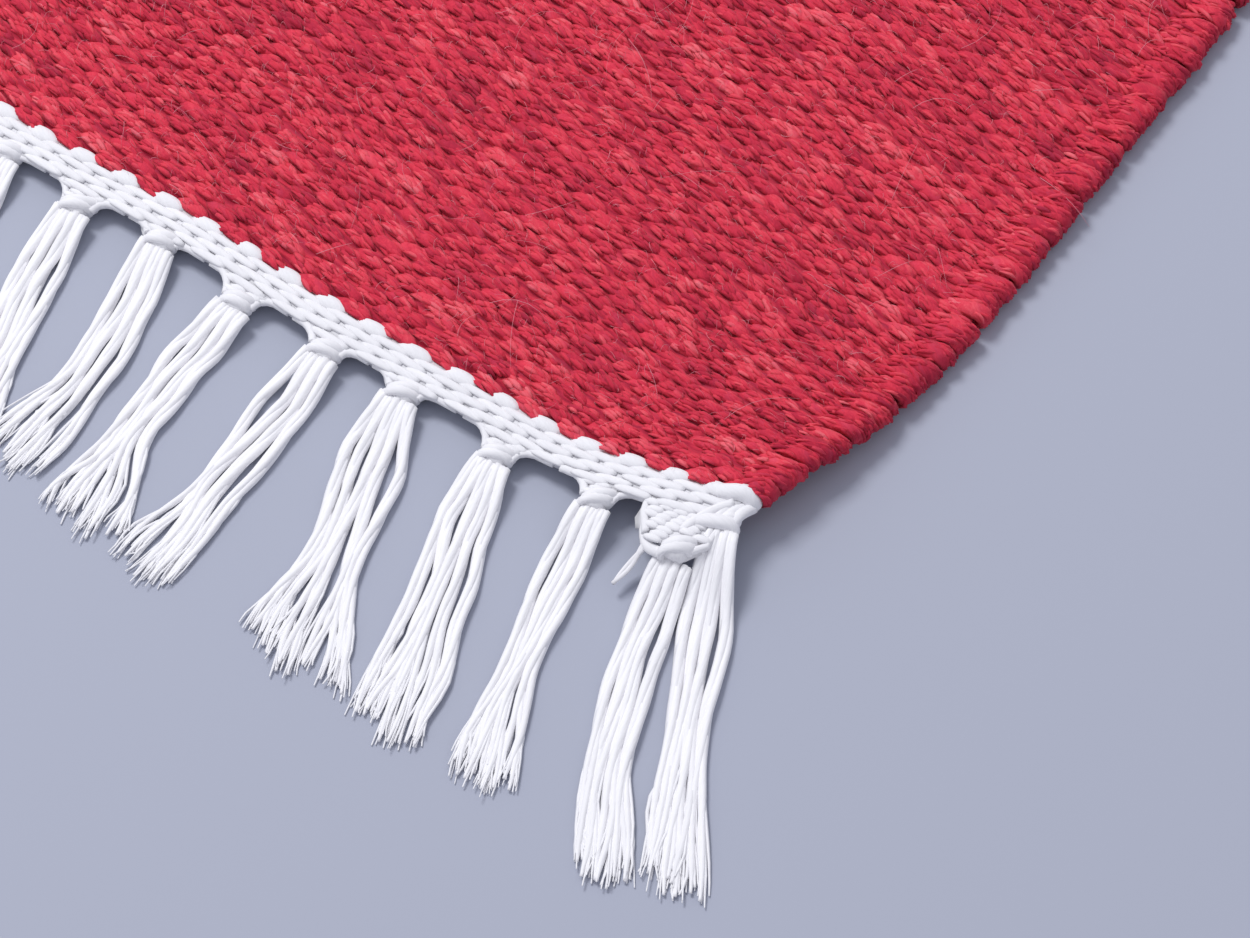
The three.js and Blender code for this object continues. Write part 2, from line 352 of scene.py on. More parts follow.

# %% [markdown]
# ## The ground of the wool
#
# Under the visible yarn the cloth is solid: warps with weft packed tight round them. It shows
# only as darkness between the floats, so it is one thin closed sheet, whose low tone is painted
# shade. The red is even but each row is a shade lighter or darker, because the wool was dyed in
# small lots: dyers call the bands abrash. That tone is worked out here once for all the wool.


# %% A closed slab and the tones of the rows
def grid_quads(nx, ny):
    """The quads over a grid of nx by ny points, facing up."""
    cell = np.arange(ny - 1)[:, None] * nx + np.arange(nx - 1)
    return np.stack([cell, cell + 1, cell + nx + 1, cell + nx], axis=-1).reshape(-1, 4)


def slab(xs, ys, low, high, tone):
    """A closed sheet over the grid of xs and ys, from height low to high: a top, a bottom and a
    wall round both."""
    x, y = np.meshgrid(xs, ys)
    top, bottom = path(x, y, high).reshape(-1, 3), path(x, y, low).reshape(-1, 3)
    nx, ny = len(xs), len(ys)
    quads = grid_quads(nx, ny)
    rim = np.concatenate([np.arange(nx), nx * np.arange(2, ny + 1) - 1,
                          nx * ny - 2 - np.arange(nx - 1), nx * np.arange(ny - 2, 0, -1)])
    after = np.roll(rim, -1)
    wall = np.stack([rim + nx * ny, after + nx * ny, after, rim], axis=-1)
    points = np.concatenate([top, bottom])
    return dict(points=points, faces=[quads, quads[:, ::-1] + nx * ny, wall],
                tone=np.full(len(points), tone), fibre=points.copy())


def clumps(x, y):
    """Patches where the yarn runs lighter or darker: sine waves 6 to 17 mm long in random
    directions, added up and stretched along the rows."""
    rng = default_rng(3)
    count, total = 14, 0
    for angle, length, shift in zip(rng.uniform(0, np.pi, count), rng.uniform(6, 17, count),
                                    rng.uniform(0, TAU, count)):
        across = 0.6 * x * np.cos(angle) + y * np.sin(angle)
        total = total + np.sin(TAU * across / length + shift)
    return total / count ** 0.5


def row_tone(x, y):
    """The abrash at a place: slow waves across the rows that wander a little along them, and
    the patches."""
    s = y + HALF_Y + 1.5 * np.sin(x / 70)
    return (0.04 * np.sin(TAU * s / 31 + 0.6) + 0.03 * np.sin(TAU * s / 12.7 + 2)
            + 0.03 * np.sin(TAU * s / 83 + x / 190) + 0.1 * clumps(x, y))


GROUND_BOTTOM, GROUND_TOP = 0.4, 3.6
# painted shade: the ground's tone of 0.2, darker than the floats, stands for the shade between them
ground = slab(np.linspace(3 - HALF_X, HALF_X - 3, 45), np.linspace(1 - HALF_Y, HALF_Y - 1, 61),
              GROUND_BOTTOM, GROUND_TOP, 0.2)
wool_ground = make_piece("wool_ground", ground, wool)

# %% [markdown]
# ## The weave over the whole field
#
# Weft-faced plain weave: each weft passes over one warp and under the next, and packed rows hide
# the warps. What shows is a brick pattern of lens-shaped floats. A relief with three points to
# a repeat and one line to a row carries that pattern over the whole rug. Near the lifted
# corner, where single floats are seen, it drops a little and real floats lie on it, thinning
# out over the last 14 mm. The last rows at both ends are pushed out between the bumps of the
# cotton.


# %% Where single floats are
NEAR_LEFT, NEAR_FAR, NEAR_FADE = 66, 214, 14
SLANT_X, SLANT_OUT, SLANT = 86, 41, 0.74
TURNS_COVER = 6


def near_corner(x, y):
    """Depth in millimetres into the part where floats are single meshes, below 0 outside: right
    of NEAR_LEFT, less than NEAR_FAR from the front end and in front of a slanting line. The
    factor of 0.8 makes a distance of the height under that line."""
    out = y + HALF_Y
    under = SLANT_OUT + SLANT * (x - SLANT_X) - out
    return np.minimum(np.minimum(x - NEAR_LEFT, NEAR_FAR - out), 0.8 * under)


# %% The relief of the weave
ROW_Y = -HALF_Y + ROW_STEP * (np.arange(ROWS) + 0.5) + default_rng(9).normal(0, 0.2, ROWS)
ROW_Y[:3] -= [0.9, 0.5, 0.2]
ROW_Y[-3:] += [0.2, 0.5, 0.9]


def relief():
    """Height 5 + 0.5 cos(2 pi x / repeat + pi row), sinking under the yarns of the edges and
    half a millimetre under the single floats."""
    xs = np.linspace(2.5 - HALF_X, HALF_X - 2.5, 3 * REPEATS)
    rows = np.arange(ROWS)
    x, y = np.meshgrid(xs, ROW_Y)
    rng = default_rng(11)
    phase = TAU * (x - WARP_SHIFT) / REPEAT + np.pi * ((rows[:, None] + 1) % 2)
    rise = np.cos(phase)
    near = ease(-10, 0, near_corner(x, y))
    edge = ease(0, TURNS_COVER, HALF_X - np.abs(x))
    ends = ease(0, 1.6, HALF_Y - np.abs(y))
    z = WOOL_TOP + 0.5 * rise + rng.normal(0, 0.12, x.shape) - 0.5 * near
    z = 2.6 + (z - 2.6) * np.minimum(edge + 0.3, 1) * (0.35 + 0.65 * ends)
    points = np.stack([x, y, z], axis=-1).reshape(-1, 3)
    floats = np.floor((x - WARP_SHIFT) / REPEAT + 0.5 * ((rows[:, None] + 1) % 2) + 0.5)
    lot = rng.normal(0, 0.15, (ROWS, 80))
    own = np.take_along_axis(lot, (floats + 35).astype(int), axis=1)
    # painted light and shade: the bumps of the weave are 0.2 lighter and its hollows 0.2 darker
    tone = 0.3 + row_tone(x, y) + own + 0.2 * rise
    # painted shade: under the single floats one tone, 0.35, below theirs, darkens the gaps between
    # them
    tone = tone + (0.35 - tone) * ease(-2, 0, near_corner(x, y))
    fibre = np.stack([x, ROW_STEP * rows[:, None] + 0 * x, z + 3 * rows[:, None]], axis=-1)
    return dict(points=points, faces=[grid_quads(len(xs), ROWS)], tone=tone.reshape(-1),
                fibre=fibre.reshape(-1, 3))


wool_weave = make_piece("wool_weave", relief(), packed_wool)

# %% [markdown]
# ## Single floats by the lifted corner
#
# Each float is a short bulge of soft yarn: it comes up over one warp and dives under both
# neighbours. A smooth body carries its shape, and on it lie nine short strands, because the
# loose fibres of handspun yarn show for only 3 to 5 mm and point a little every way. They
# differ in tone and thickness. Even and odd rows are two pieces.


# %% The floats
FLOAT_LOW, FLOAT_RISE, FLOAT_HALF = 3.8, 0.85, 5.2


def bulge(x, half):
    """1 at the middle of a float and 0 at its ends: 1 - (x / half)^2."""
    return np.clip(1 - (x / half) ** 2, 0, 1)


def edge_drop(x):
    """How far the wool's top curves down towards the long edge: 0.07 times the square of the
    millimetres past a line 8 mm before it."""
    return 0.07 * np.clip(np.abs(x) - (HALF_X - 8), 0, 6) ** 2


def float_bodies(cx, cy, tone, seed):
    """The soft middle of each float: its line rises by 0.85 mm times its bulge, and its width
    and height go with the root of that. Its tone drops towards its ends as painted shade."""
    rng = default_rng(seed)
    one = (len(cx), 1)
    u = np.linspace(-0.97, 0.97, 6)
    rise = bulge(u, 1)
    thin = np.sqrt(rise) * np.ones(one)
    along = u * rng.uniform(4.5, 5.4, one)
    x = cx[:, None] + along
    z = FLOAT_LOW + FLOAT_RISE * rise + rng.normal(0, 0.1, one) - edge_drop(x)
    # painted shade: the body is 0.06 darker than its float and darker still towards its ends, where it
    # dives
    return tubes(path(x, cy[:, None] - 0.1 * along, z), 1.7 * thin, 0.9 * thin, 6,
                 tone[:, None] - 0.06 + 0.22 * (thin - 1), twist=0.5, seed=seed + 1)


def short_strands(cx, cy, tone, seed, strands=9):
    """Short strands on each float, side by side over its round top, whose ends sink in by v^2."""
    rng = default_rng(seed)
    each = (len(cx), strands, 1)
    v = np.linspace(-1, 1, 4)
    j = np.linspace(-1, 1, strands)[:, None]
    where = rng.uniform(-3.2, 3.2, each)
    run = rng.uniform(1.4, 2.7, each) * v
    up = bulge(where + run, FLOAT_HALF)
    thin = np.sqrt(up)
    x = cx[:, None, None] + where + run
    y = (cy[:, None, None] + 1.4 * j * np.sqrt(bulge(where, FLOAT_HALF))
         + rng.normal(0, 0.12, each) + rng.normal(-0.2, 0.13, each) * run - 0.12 * where)
    z = (FLOAT_LOW + FLOAT_RISE * up + 0.9 * thin * np.sqrt(1 - 0.7 * j * j)
         + rng.normal(0, 0.09, each) - 0.28 * v ** 2 - edge_drop(x))
    girth = (rng.uniform(0.34, 0.62, each) * np.sqrt(1 - (0.9 * v) ** 2)).reshape(-1, len(v))
    # painted shade and light: a strand is darker towards its ends and lighter high on its float; the
    # normal noise is its own tone
    own = tone[:, None, None] + 0.13 * (rng.normal(0, 1, each) - 0.4 * v ** 2 + 1.5 * (thin - 0.9))
    return tubes(path(x, y, z), 1.15 * girth, 0.85 * girth, 4, own.reshape(-1, len(v)),
                 twist=0.4, seed=seed + 1)


def float_places(odd):
    """The middles of the floats in the odd or even rows."""
    rng = default_rng(21 + odd)
    r, k = np.meshgrid(np.arange(odd, ROWS, 2), COLUMNS, indexing="ij")
    x = (WARP_SHIFT + REPEAT * (k + 0.5 * ((r + 1) % 2))).reshape(-1)
    y = ROW_Y[r].reshape(-1)
    return x + rng.normal(0, 0.45, len(x)), y + rng.normal(0, 0.2, len(x)), r.reshape(-1)


def single_floats(odd):
    """Floats with strands by the corner, fewer and fewer at the border of that part, and plain
    ones in the last two rows of both ends."""
    x, y, row = float_places(odd)
    fade = default_rng(29 + odd).uniform(-NEAR_FADE, 0, len(x))
    inside = np.abs(x) < HALF_X - TURNS_COVER
    near = (near_corner(x, y) > fade) & inside
    last = ~near & ((row < 2) | (row > ROWS - 3)) & inside
    tone = 0.48 + row_tone(x, y) + default_rng(25 + odd).normal(0, 0.1, len(x))
    return joined([float_bodies(x[near], y[near], tone[near], 31 + odd),
                   short_strands(x[near], y[near], tone[near], 35 + odd),
                   float_bodies(x[last], y[last], tone[last], 39 + odd)])


wool_floats = [
    make_piece("wool_floats_" + name, single_floats(odd), wool)
    for odd, name in enumerate(["even", "odd"])
]

# %% [markdown]
# ## The selvedges
#
# At the long edges each weft turns round a thicker cord and goes back. The turns lie close and
# slant a little with the twist. Each is a tube bent like a hairpin, with painted shade
# underneath. By the lifted corner it is covered with short strands, as a float is.


# %% The turns of the weft
EDGE_CORD = dict(across=2.9, high=2.0, middle=3.1, inset=3.9)


def lumps(y, seed):
    """How far each turn stands out and shifts, from uneven lumps 9.5 to 16.5 mm long."""
    rng = default_rng(seed)
    marks = np.cumsum(rng.uniform(9.5, 16.5, 120)) - HALF_Y - 10
    index = np.searchsorted(marks, y) - 1
    low, high = marks[index], marks[index + 1]
    u = (y - low) / (high - low)
    swell = np.sin(np.pi * np.clip(u, 0.02, 0.98)) ** 0.5
    size = rng.uniform(0.4, 1.3, 121)[index]
    return swell * size, (0.5 - u) * 0.9


def turn_line(t, reach, out):
    """The hairpin of a turn, as t goes from 0 to 1: from the cloth's top, round the edge cord
    as half an oval that is larger by out, to its underside."""
    bend = np.pi / 2 - np.pi * ease(0.25, 0.9, t)
    lead = np.maximum(0, 0.34 - t) / 0.34
    tail = np.maximum(0, t - 0.86) / 0.14
    x = reach + (EDGE_CORD["across"] + out) * np.cos(bend) - 6.5 * lead - 4 * tail
    z = EDGE_CORD["middle"] + (EDGE_CORD["high"] + out) * np.sin(bend) - 1.1 * lead ** 2
    return x, np.maximum(z, 0.9)


def selvedge(side, near):
    """The turns of one long edge: a soft body each and, near the corner, strands across it."""
    y = np.arange(-HALF_Y + 2.5, HALF_Y - 2, 2 * ROW_STEP)
    close = (y < -HALF_Y + NEAR_FAR) if side > 0 else np.zeros(len(y), bool)
    y = y[close] if near else y[~close]
    rng = default_rng(41 + side + 5 * near)
    swell, shift = lumps(y, 47 + side)
    n = len(y)
    middle = y + shift + rng.normal(0, 0.4, n)
    reach = HALF_X - EDGE_CORD["inset"] + 0.4 * swell + rng.normal(0, 0.25, n)
    slant = rng.normal(2.2, 1.0, n)
    t = np.linspace(0, 1, 11 if near else 9) * np.ones((n, 1))
    x, z = turn_line(t, reach[:, None], 0.0)
    paths = path(side * x, middle[:, None] + (t - 0.5) * slant[:, None], z)
    grow = 0.4 + 0.6 * ease(0, 0.25, t)
    lot = row_tone(side * (HALF_X - 2) + 0 * y, y)[:, None]
    # painted shade: each turn darkens by 0.35 towards its underside
    own = 0.42 + lot + rng.normal(0, 0.08, (n, 1)) - 0.35 * ease(0.35, 0.7, t)
    parts = [tubes(paths, 1.15 * grow, 2.4 * grow * rng.uniform(0.9, 1.1, (n, 1)), 6, own,
                   up_hint=(0, side, 0), twist=0.5, seed=43 + side + near)]
    if near:
        strands = 22
        each = (n, strands, 1)
        v = np.linspace(-1, 1, 4)
        run = rng.uniform(0.05, 0.125, each) * v
        middle_t = rng.uniform(0.05, 0.72, each)
        j = rng.uniform(-1, 1, each)
        x, z = turn_line(middle_t + run, reach[:, None, None],
                         np.sqrt(1 - 0.7 * j * j) + rng.normal(0, 0.14, each) - 0.35 * v ** 2)
        y = (middle[:, None, None] + (middle_t - 0.5) * slant[:, None, None] + 2.2 * j
             + rng.normal(0.12, 0.3, each) * 18 * run)
        girth = (rng.uniform(0.34, 0.68, each) * np.sqrt(1 - (0.9 * v) ** 2)).reshape(-1, len(v))
        # painted shade: the strands darken towards the turn's underside
        own = 0.5 + lot[:, :, None] + rng.normal(0, 0.17, each) - 0.4 * ease(0.3, 0.6, middle_t)
        own = np.broadcast_to(own, (n, strands, len(v))).reshape(-1, len(v))
        parts.append(tubes(path(side * x, y, z), girth, girth, 4, own, up_hint=(0, side, 0),
                           twist=0.4, seed=53))
    return joined(parts)


turns = joined([selvedge(1, True), selvedge(1, False), selvedge(-1, False)])
selvedge_turns = make_piece("selvedge_turns", turns, wool)

# %% [markdown]
# ## The fringe: where each tassel lies
#
# The solids say where every knot sits and how its cords run, and the same table is used here,
# so each modelled cord lies in the place of its solid one.

# %% The table of tassels
TASSEL_STEP, TASSEL_COUNT = 21.7, 27
KNOT = dict(across=3.7, along=3.4, high=3.1)
EDGE_KNOT = dict(across=2.8, along=3.2, high=2.7)
# each tassel: how far its knot is from the long side and from the wool, how far its tips lie
# towards that side, how far its middle bows to it, the spread of the tips, cords and length
NEAR_TASSELS = [
    (12, 16, 22.0, -2.0, 9, 4, 58.5), (35, 12.4, 15.2, -0.5, 9, 4, 59),
    (60.5, 13.1, 19.5, 1.0, 14, 5, 61.5), (86, 11.2, 20.7, 1.0, 20, 5, 63),
    (105.5, 11.6, 4.1, 0.5, 9, 4, 62), (128, 13.1, 8.3, -2.0, 15, 4, 59),
    (151, 10.4, 10.5, 3.5, 12, 4, 59), (171.5, 12.9, 16.5, 1.0, 11, 4, 60.5),
]
# the others' out, drift, bow, fan and length: usual value, sway, and speed and shift of its sine
OTHER_TASSELS = [(10.8, 1.1, 2.1, 0), (10.5, 4, 2.4, 0), (0, 2.5, 1.7, 1), (11, 2, 3.1, 0),
                 (62, 3, 2.9, 0)]
EDGE_BUNDLES = [(1, (5.5, 7.4, 27, 0.5, 10, 4, 62)), (-1, (6, 7.4, 5, -2, 10, 4, 61))]


def tassel_table():
    """The side, row and knot of every tassel: the measured ones, the others whose values sway
    by sines of their number, and the two bundles outside the last knots."""
    rows = list(NEAR_TASSELS)
    last = len(rows) - 1
    for i in range(len(rows), TASSEL_COUNT):
        out, drift, bow, fan, length = (usual + sway * math.sin(speed * i + shift)
                                        for usual, sway, speed, shift in OTHER_TASSELS)
        rows.append((rows[last][0] + (i - last) * TASSEL_STEP, out, drift, bow, fan,
                     5 if i % 5 == 2 else 4, length))
    return [(1, row, KNOT) for row in rows] + [(s, row, EDGE_KNOT) for s, row in EDGE_BUNDLES]


TASSELS = tassel_table()
KNOT_X = np.array([side * (HALF_X - row[0]) for side, row, _ in TASSELS])
TASSEL_OUT = np.array([row[1] for _, row, _ in TASSELS])
print("%d tassels, %d cords an end" % (len(TASSELS), sum(row[5] for _, row, _ in TASSELS)))

# %% [markdown]
# ## The cotton band
#
# Cotton weft holds the wool: one fat row that bulges between the last red floats and makes a
# scalloped border, then five finer rows woven over and under single warps. Towards each knot
# the rows are pulled down, and short rows go on over the neck between the band and the knot. A
# cord runs along the edge, from midway between two knots down the sides of their necks. At both
# sides the fat row turns back as a loop. By the lifted corner the neck is a wider web with a
# loose tail.


# %% The band's rows
def pull_to_knots(x):
    """1 at a knot and 0 midway between knots, as a bell of the distance to the nearest."""
    away = np.abs(np.asarray(x)[..., None] - KNOT_X[:TASSEL_COUNT])
    return np.exp(-(away.min(-1) / 5.2) ** 2)


# each shape of float: half length, half width, half height, level, power
FAT = (4.5, 1.9, 1.25, 3.95, 0.5)
FINE = (4.95, 0.98, 0.55, 4.45, 0.25)
SHORT = (2.2, 0.85, 0.5, 4.2, 0.3)
# each row: distance from the wool, half a repeat on or not, shape, pull to the knots
BAND_ROWS = [(1.4, 0, FAT, 0), (2.9, 1, FINE, 0), (4.2, 0, FINE, 0.1), (5.5, 1, FINE, 0.25),
             (6.75, 0, FINE, 0.45), (7.9, 1, FINE, 0.7)]
COTTON_TONE = 0.6


def cotton_floats(cx, out, shape, rings, sides, seed):
    """Bulges of soft cord, each over one warp, in one of the shapes: the line rises by 0.2 mm
    times its bulge, and width and height go with the bulge to the shape's power, so that a low
    power gives blunt ends."""
    half, wide, high, level, power = shape
    rng = default_rng(seed)
    one = (len(cx), 1)
    u = np.linspace(-0.97, 0.97, rings)
    thin = bulge(u, 1) ** power * np.ones(one)
    cx = cx + rng.normal(0, 0.15, len(cx))
    cy = -HALF_Y - out + rng.normal(0, 0.08, len(cx))
    along = half * rng.uniform(0.94, 1.06, one) * u
    y = cy[:, None] + rng.normal(0.0, 0.03, one) * along
    z = level + 0.2 * bulge(u, 1) + rng.normal(0, 0.05, one)
    # painted shade: each float is up to 0.1 darker towards its ends, where it dives
    return [tubes(path(cx[:, None] + along, y, z), wide * thin * rng.uniform(0.95, 1.08, one),
                  high * thin, sides, COTTON_TONE + rng.normal(0, 0.05, one) + 0.1 * (thin - 1),
                  twist=0.35, seed=seed + 1)]


def band_floats(rings, sides):
    """The floats of the band's six rows."""
    parts = []
    for j, (out, shifted, shape, pull) in enumerate(BAND_ROWS):
        cx = WARP_SHIFT + REPEAT * (COLUMNS + 0.5 * shifted)
        cx = cx[np.abs(cx) + shape[0] < HALF_X - 3]
        parts += cotton_floats(cx, out + pull * pull_to_knots(cx), shape, rings, sides, 61 + 2 * j)
    return parts


# %% The necks and their web
NECK_START, NECK_HALF = 7.6, 3.3
EDGE_CORD_OUT = 8.2


def neck_sides(i, out):
    """How far neck i reaches to the left and right of its knot at a distance out. Its left side
    narrows slowly and its right side at once. The first neck is the web."""
    gone = np.clip((out - NECK_START) / (TASSEL_OUT[i] - NECK_START), 0, 1)
    left = NECK_HALF + 4.2 * (1 - gone) ** 1.6
    right = NECK_HALF + 2.4 * (1 - gone) ** 3
    web_left = 12.5 - 0.85 * np.clip(out - 10, 0, 8)
    web_right = 5.6 - 1.2 * np.clip(out - 13, 0, 6)
    return np.where(i == 0, web_left, left), np.where(i == 0, web_right, right)


def neck_floats(rings, sides):
    """Short floats in rows over every neck, brick fashion. Low in the web they stop short of
    its knot, where a roll and the bundle of the edge lie."""
    first, row_step, float_step, margin = 8.9, 1.15, 3.6, 1.5
    spots = []
    for i in range(TASSEL_COUNT):
        last = TASSEL_OUT[i] - 0.9 + 2.2 * (i == 0)
        for r, out in enumerate(np.arange(first, last, row_step)):
            left, right = neck_sides(i, out)
            right = -2.4 if i == 0 and out > 13.4 else right
            x = np.arange(KNOT_X[i] - left + margin + float_step / 2 * (r % 2),
                          KNOT_X[i] + right - margin, float_step)
            spots.append(np.stack([x, np.full(len(x), out)]))
    cx, out = np.concatenate(spots, axis=1)
    return cotton_floats(cx, out, SHORT, rings, sides, 73)


def neck_cores(sides):
    """A flat tube under every neck, as wide as the neck, from under the band to the knot."""
    i, t = np.arange(TASSEL_COUNT)[:, None], np.linspace(0, 1, 6)
    start, level, high = 6.2, 2.8, 1.55
    out = start + (TASSEL_OUT[i] - start) * t
    left, right = neck_sides(i, out)
    middle = path(KNOT_X[i] + (right - left) / 2, -HALF_Y - out, level)
    # painted shade: the core's tone, 0.4 below the cotton's 0.6, stands for the shade between the neck
    # floats
    return [tubes(middle, (left + right) / 2 + 0.1 + 0.8 * (i == 0), high, sides, 0.4)]


def side_cords(seed, rings, sides):
    """Cords along the band's edge, from midway between two knots round the corner of each neck
    and down its side."""
    rng = default_rng(seed)
    i, t = np.arange(TASSEL_COUNT)[:, None], np.linspace(0, 1, rings)
    half_gaps = -np.diff(KNOT_X[:TASSEL_COUNT]) / 2
    parts = []
    for hand, gap in ((-1, np.append(half_gaps, 8)), (1, np.append(7, half_gaps))):
        goal = np.where((i == 0) & (hand < 0), 15, TASSEL_OUT[i] - 0.6)
        out = EDGE_CORD_OUT + (goal - EDGE_CORD_OUT) * ease(0.35, 1, t)
        reach = neck_sides(i, out)[(hand + 1) // 2]
        first = neck_sides(i, EDGE_CORD_OUT + 0 * t)[(hand + 1) // 2]
        reach = reach + (gap[:, None] - first) * (1 - ease(-0.2, 0.65, t))
        z = 3.7 + rng.normal(0, 0.1, i.shape)
        girth = 0.85 * rng.uniform(0.92, 1.1, i.shape)
        parts.append(tubes(path(KNOT_X[i] + hand * reach, -HALF_Y - out, z), girth, girth, sides,
                           COTTON_TONE + rng.normal(0, 0.05, TASSEL_COUNT), twist=0.3,
                           seed=seed + 7))
    return parts


def smooth_path(corners, rings):
    """A soft curve through a few corner points: between two of them it is the cubic whose
    slope at each is half the way from the point before to the point after."""
    corners = np.array(corners, float)
    s = np.linspace(0, len(corners) - 1, rings)
    low = np.minimum(s.astype(int), len(corners) - 2)
    u = (s - low)[:, None]
    before, after = corners[np.maximum(low - 1, 0)], corners[np.minimum(low + 2, len(corners) - 1)]
    a, b = corners[low], corners[low + 1]
    return (a + u * (b - before) / 2 + u ** 2 * (before - 2.5 * a + 2 * b - after / 2)
            + u ** 3 * (1.5 * (a - b) + (after - before) / 2))[None]


def loop_cords(sides):
    """The loop at both ends of the fat row, and under it the turns of the finer rows, side by
    side."""
    loop = smooth_path([(286.5, -451.7, 3.6), (290.5, -451.2, 4.3), (294.5, -450.1, 4.5),
                        (297.6, -450.3, 3.3), (298.2, -450.8, 2.0)], 17)
    under = smooth_path([(298, -451, 2.3), (297.2, -453, 3.4), (296.4, -455, 3.9),
                         (296, -457, 3.6)], 9)
    wide = 2.05 * np.sin(np.pi * np.linspace(0.1, 0.95, 17)) ** 0.4
    parts = []
    for side in (1, -1):
        parts.append(tubes(loop * [side, 1, 1], wide, wide * 0.9, sides, 0.62, twist=0.3, seed=5))
        for shift in (0, 2.0, 4.0, 5.8):
            parts.append(tubes(under * [side, 1, 1] - [side * shift, 0.3 * shift, -0.2], 1.35, 1.1,
                               sides, COTTON_TONE, twist=0.3, seed=7))
    return parts


# each cord of the web: its half width, and the points it runs through
WEB_CORDS = [
    (1.45, [(287.2, -459.8, 3.4), (289.5, -459, 4.5), (293.2, -458.1, 4.8), (296, -457.3, 4.0),
            (296.9, -457.8, 2.6)]),
    (1.2, [(293.5, -453, 4.0), (290.5, -456.4, 4.5), (288.2, -459.6, 4.4), (286.4, -462, 3.6)]),
    (1.1, [(277.9, -457.6, 2.9), (276.8, -460.4, 2.9), (278.6, -463.9, 2.9),
           (281.6, -466.9, 3.0), (284.9, -467.2, 2.9)]),
]
TAIL = dict(x=281.2, y=-465.5, drift=-2.2, length=9.5)


def web_cords(sides):
    """What only the lifted corner has: two cords slanting from the loop into the web, a roll
    along the web's edge, and a loose tail of two plies that sinks to the floor."""
    parts = [tubes(smooth_path(marks, 13), wide, wide * 0.9, sides, 0.62, twist=0.4, seed=6)
             for wide, marks in WEB_CORDS]
    t = np.linspace(0, 1, 10)
    for shift in (-0.45, 0.45):
        tail = path(TAIL["x"] + TAIL["drift"] * t + shift * np.cos(5 * t),
                    TAIL["y"] - TAIL["length"] * t, 0.85 + 2.0 * (1 - ease(0, 0.7, t)))
        parts.append(tubes(tail, 0.75 - 0.3 * t, 0.75 - 0.3 * t, sides, COTTON_TONE, seed=8))
    return parts


def band_core():
    """A flat closed strip under the band's rows, so that only pinholes show between them; its low
    tone is painted shade.
    """
    bottom, top = 2.2, 4.35
    # painted shade: the strip's tone of 0.35 darkens the pinholes
    strip = slab(np.linspace(-HALF_X + 5, HALF_X - 5, 161), -HALF_Y - np.array([7.9, 4.0, 0.6]),
                 bottom, top, 0.35)
    pull = pull_to_knots(strip["points"][:, 0]) * (strip["points"][:, 1] < -HALF_Y - 5)
    strip["points"][:, 1] -= 1.2 * pull
    return strip


# %% [markdown]
# ## The knots
#
# Each tassel is four or five warps tied round with one of them. What shows is a collar of two
# turns close together, tilted with the lean of the cords.


# %% The knots
# each turn: half its thickness, half its width along the cords, its place as a share of the knot
KNOT_TURNS = [(0.95, 1.2, 0.0), (0.85, 1.15, 0.36)]


def knots(seed):
    """The knots of one end: a core as an oval ball, and two tilted rings round it, oval
    themselves and swelling a little by sines of the angle."""
    rng = default_rng(seed)
    n = len(TASSELS)
    across, along, high = (np.array([knot[key] for _, _, knot in TASSELS])[:, None]
                           for key in ("across", "along", "high"))
    lean = np.array([row[2] / row[6] for _, row, _ in TASSELS])[:, None]
    kx, ky = KNOT_X[:, None], -HALF_Y - TASSEL_OUT[:, None]
    t = np.linspace(-1, 1, 7)
    core = path(kx, ky - 0.45 * along * t, 0.95 * high)
    girth = across * 0.8 * np.sqrt(1 - (0.7 * t) ** 2)
    # painted shade: the core, 0.5, is darker than the turns round it, 0.62
    parts = [tubes(core, girth, girth * high / across, 8, 0.5, seed=seed + 1)]
    a = np.linspace(-np.pi / 2, 1.5 * np.pi, 17)
    tilt = 0.14 + 0.7 * lean + rng.normal(0, 0.06, (n, 1))
    for radius, length, place in KNOT_TURNS:
        tilt = tilt + rng.normal(0, 0.02, (n, 1))
        wide = across - radius + 0.2
        x = kx + wide * np.cos(a) * rng.uniform(0.97, 1.03, (n, 1))
        z = high + (high - radius) * np.sin(a) * 0.97
        y = ky + along * place + tilt * wide * np.cos(a)
        swell = 1 + 0.07 * np.sin(2 * a + rng.uniform(0, 6, (n, 1))) + 0.07 * np.sin(5 * a)
        parts.append(tubes(path(x, y, z), radius * swell, length * swell, 8,
                           0.62 + rng.normal(0, 0.04, n), up_hint=(0, 1, 0), twist=0.3,
                           seed=seed + 2))
    return parts


# %% [markdown]
# ## The cords
#
# A warp cord is three soft plies with little twist. It leaves the knot tight, lies down on the
# floor, and towards its cut tip the plies come apart. So each ply is a tube that circles the
# cord's line, further out towards the tip. Thin strands leave it near its end: one a ply, and
# six a ply by the lifted corner, where they are seen.


# %% The lines of the cords
CORD_GAP, ROOT_SHARE = 2.85, 1.75


